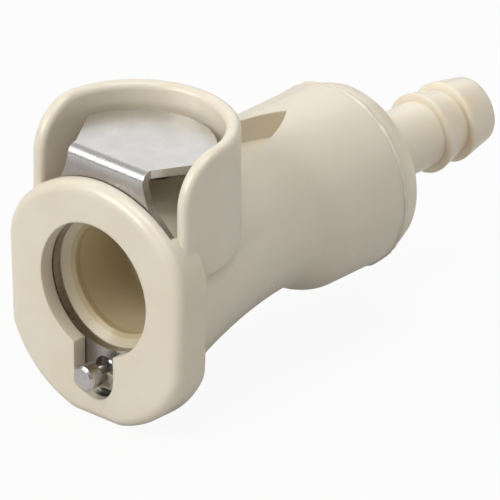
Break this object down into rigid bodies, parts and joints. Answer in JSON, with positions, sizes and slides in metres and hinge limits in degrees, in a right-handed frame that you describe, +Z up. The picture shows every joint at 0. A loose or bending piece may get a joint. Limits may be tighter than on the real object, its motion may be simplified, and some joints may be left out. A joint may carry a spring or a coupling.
{
  "type": "plastic quick disconnect coupling",
  "caption": "In-line thumb-latch quick disconnect coupling body with a bent steel latch, release pin, spring-closed poppet valve and a hose barb.",
  "frame": {"origin": "on the bore axis, in the plane of the front face", "axes": "+Z up towards the thumb pad, +Y along the bore from the mouth to the hose barb, +X across"},
  "size_m": [0.0224, 0.0543, 0.029],
  "materials": {
    "ivory_plastic": "moulded, semi-gloss ivory",
    "latch_steel": "satin stamped stainless sheet",
    "pin_steel": "turned and polished stainless",
    "spring_steel": "drawn stainless wire",
    "valve_plastic": "moulded, matt ivory",
    "seal_rubber": "smooth black rubber"
  },
  "bodies": {
    "housing": {"coupling_body": "ivory_plastic", "hose_barb": "ivory_plastic", "latch_spring": "spring_steel", "pin_spring": "spring_steel", "valve_spring": "spring_steel"},
    "latch": {"thumb_latch": "latch_steel"},
    "pin": {"latch_pin": "pin_steel"},
    "valve": {"valve_poppet": "valve_plastic", "valve_seal": "seal_rubber"}
  },
  "joints": [
    {"name": "latch_rise", "type": "slide", "parent": "housing", "child": "latch", "axis": [0, 0, 1], "range_m": [0, 0.0018], "deforming": ["latch_spring"]},
    {"name": "pin_push", "type": "slide", "parent": "housing", "child": "pin", "axis": [0, 1, 0], "range_m": [0, 0.0016], "deforming": ["pin_spring"]},
    {"name": "valve_open", "type": "slide", "parent": "housing", "child": "valve", "axis": [0, 1, 0], "range_m": [0, 0.003], "stiffness_N_per_m": 150, "springref_m": -0.002, "deforming": ["valve_spring"]}
  ],
  "couplings": [
    {"joint": "pin_push", "follows": "latch_rise", "ratio": 0.8888}
  ]
}
